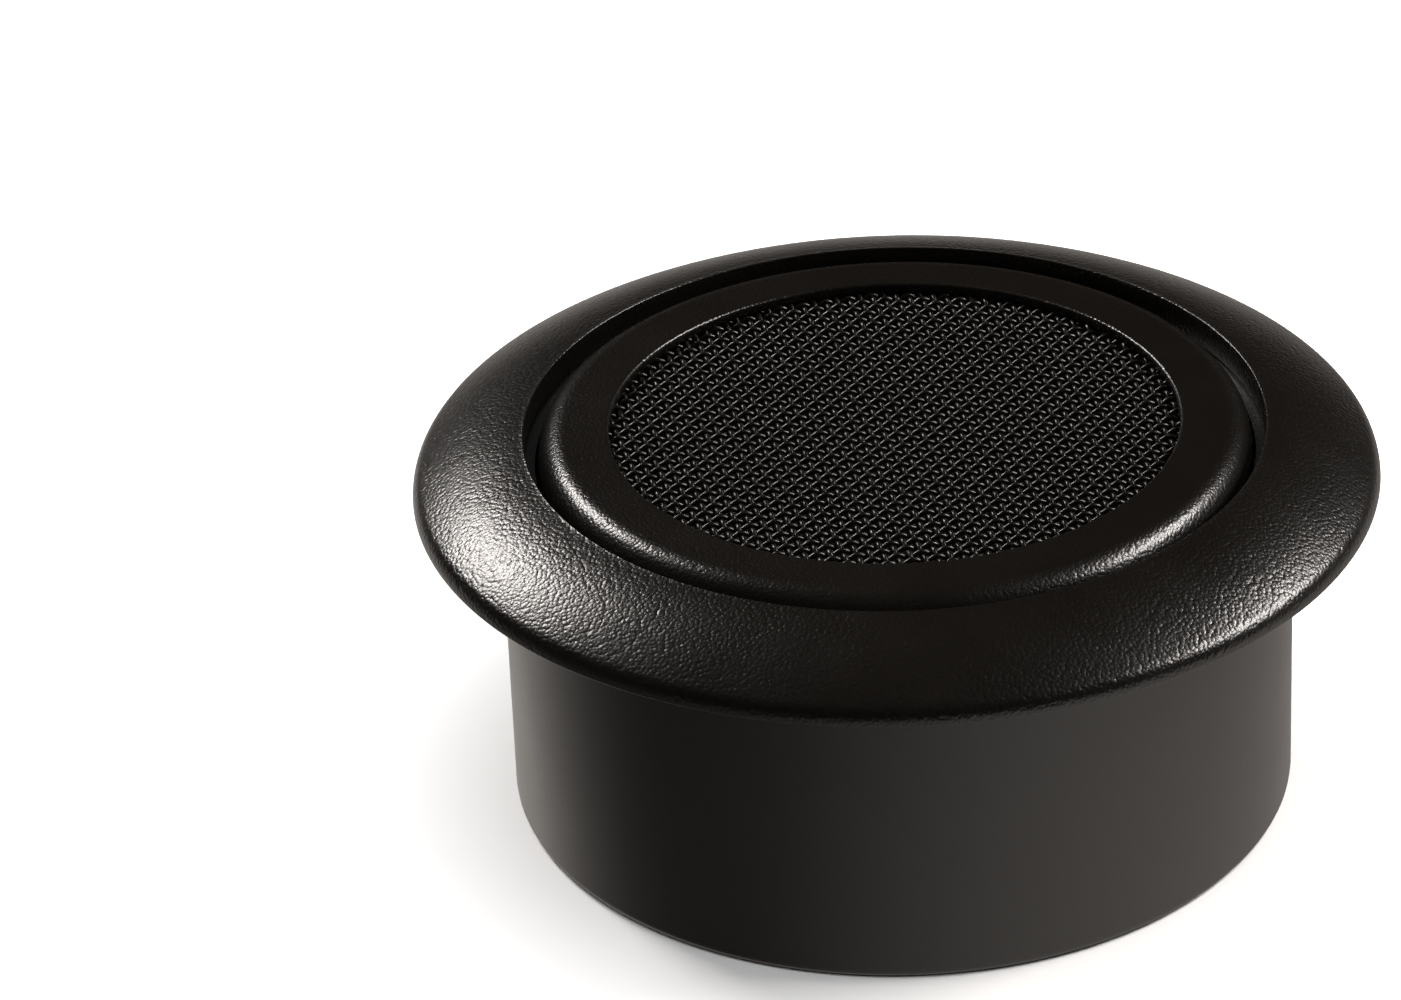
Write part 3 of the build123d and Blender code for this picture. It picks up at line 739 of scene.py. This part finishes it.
# ------------------------------------------------------------------ studio
def make_floor():
    """A pale matt floor just under the cup, clear when seen from below."""
    mesh = bpy.data.meshes.new("floor")
    half = 3.0
    drop = -0.02 * MM
    mesh.from_pydata([(-half, -half, drop), (half, -half, drop), (half, half, drop),
                      (-half, half, drop)], [], [(0, 1, 2, 3)])
    floor = bpy.data.objects.new("floor", mesh)
    bpy.context.scene.collection.objects.link(floor)
    paper = Finish("floor_paper", (0.9, 0.9, 0.9), specular=0.0)
    tone = paper.group(HANDLING, Patch_size=0.2, Tone_spread=0.01, Gloss=0.95, Gloss_spread=0.02)
    paper.tint(tone["Tone"])
    side = paper.tree.nodes.new("ShaderNodeNewGeometry").outputs["Backfacing"]
    seen = shader_maths(paper.tree, "SUBTRACT", 1.0, side)
    paper.tree.links.new(seen, paper.shader.inputs["Alpha"])
    mesh.materials.append(paper.material)
    floor.visible_glossy = False


def softbox(name, azimuth, elevation, distance, size, radiance, colour=(1, 1, 1), glossy=True):
    """A soft rectangular light that faces the middle of the tweeter, as bright as asked."""
    light = bpy.data.lights.new(name, "AREA")
    light.shape = "RECTANGLE"
    light.size, light.size_y = size
    light.energy = radiance * math.pi * size[0] * size[1]
    light.color = colour
    lamp = bpy.data.objects.new(name, light)
    turn, tip = math.radians(azimuth), math.radians(elevation)
    flat = math.cos(tip)
    direction = Vector((flat * math.cos(turn), flat * math.sin(turn), math.sin(tip)))
    lamp.location = Vector((0, 0, lip_height)) + direction * distance
    lamp.rotation_euler = direction.to_track_quat("Z", "Y").to_euler()
    lamp.visible_glossy = glossy
    bpy.context.scene.collection.objects.link(lamp)


def make_lights():
    """Two warm softboxes that draw the highlights, and a plain ceiling of soft light."""
    warm = (1, 0.95, 0.91)
    softbox("back_left_softbox", 134, 36, 0.70, (0.17, 0.17), 36, warm)
    softbox("right_softbox", 12, 38, 0.70, (0.38, 0.10), 46, warm)
    softbox("ceiling", 0, 90, 1.20, (1.80, 1.80), 3.0, glossy=False)


# Where the room glows below the horizon: direction, tightness and strength.
GLOWS = (
    ((1.0, -0.5, -0.5), 1.5, 1.0),
    ((-0.3, -0.8, -0.5), 4.0, 0.15),
    ((-0.62, 0.66, -0.45), 7.0, 0.65),
    ((0.1, 1.0, -0.3), 3.0, 0.4),
)


def make_surroundings():
    """A dark room above, and pale surroundings that glow from below the horizon."""
    world = bpy.data.worlds.new("studio")
    bpy.context.scene.world = world
    world.use_nodes = True
    tree = world.node_tree
    background = tree.nodes["Background"]
    direction = tree.nodes.new("ShaderNodeTexCoord").outputs["Generated"]
    total = 0.06                # the even part of the glow
    for lobe, tightness, strength in GLOWS:
        dot = tree.nodes.new("ShaderNodeVectorMath")
        dot.operation = "DOT_PRODUCT"
        dot.inputs[1].default_value = Vector(lobe).normalized()
        tree.links.new(direction, dot.inputs[0])
        facing = shader_maths(tree, "MAXIMUM", dot.outputs["Value"], 0.0)
        glow = shader_maths(tree, "POWER", facing, tightness)
        total = shader_maths(tree, "MULTIPLY_ADD", glow, strength, total)
    split = tree.nodes.new("ShaderNodeSeparateXYZ")
    tree.links.new(direction, split.inputs[0])
    horizon = tree.nodes.new("ShaderNodeMapRange")
    horizon.interpolation_type = "SMOOTHSTEP"
    horizon.inputs["From Min"].default_value = 0.12
    horizon.inputs["From Max"].default_value = -0.2
    tree.links.new(split.outputs["Z"], horizon.inputs["Value"])
    low = shader_maths(tree, "MULTIPLY", total, horizon.outputs[0])
    dark_room = 0.01
    tree.links.new(shader_maths(tree, "ADD", low, dark_room), background.inputs["Strength"])
    background.inputs["Color"].default_value = (1, 0.93, 0.87, 1)


def make_camera():
    """A long lens, about 32 degrees above the floor, aimed left of and behind the base."""
    distance = 350 * MM
    elevation = math.radians(32.356)
    aim = Vector((-11.311, 9.754, 12.0)) * MM
    roll = math.radians(-2.562)
    data = bpy.data.cameras.new("camera")
    data.sensor_width = 36
    data.lens = 156.23
    data.clip_start = 0.01
    camera = bpy.data.objects.new("camera", data)
    place = Vector((0, -math.cos(elevation), math.sin(elevation))) * distance
    look = (aim - place).to_track_quat("-Z", "Y").to_matrix().to_4x4()
    camera.matrix_world = Matrix.Translation(place) @ look @ Matrix.Rotation(roll, 4, "Z")
    bpy.context.scene.collection.objects.link(camera)
    bpy.context.scene.camera = camera


make_camera()
make_lights()
make_surroundings()
make_floor()
bpy.context.scene.view_settings.view_transform = "Standard"
make_cup()
make_flange()
make_bezel()
make_mesh()
make_winding()
finish_nodes()
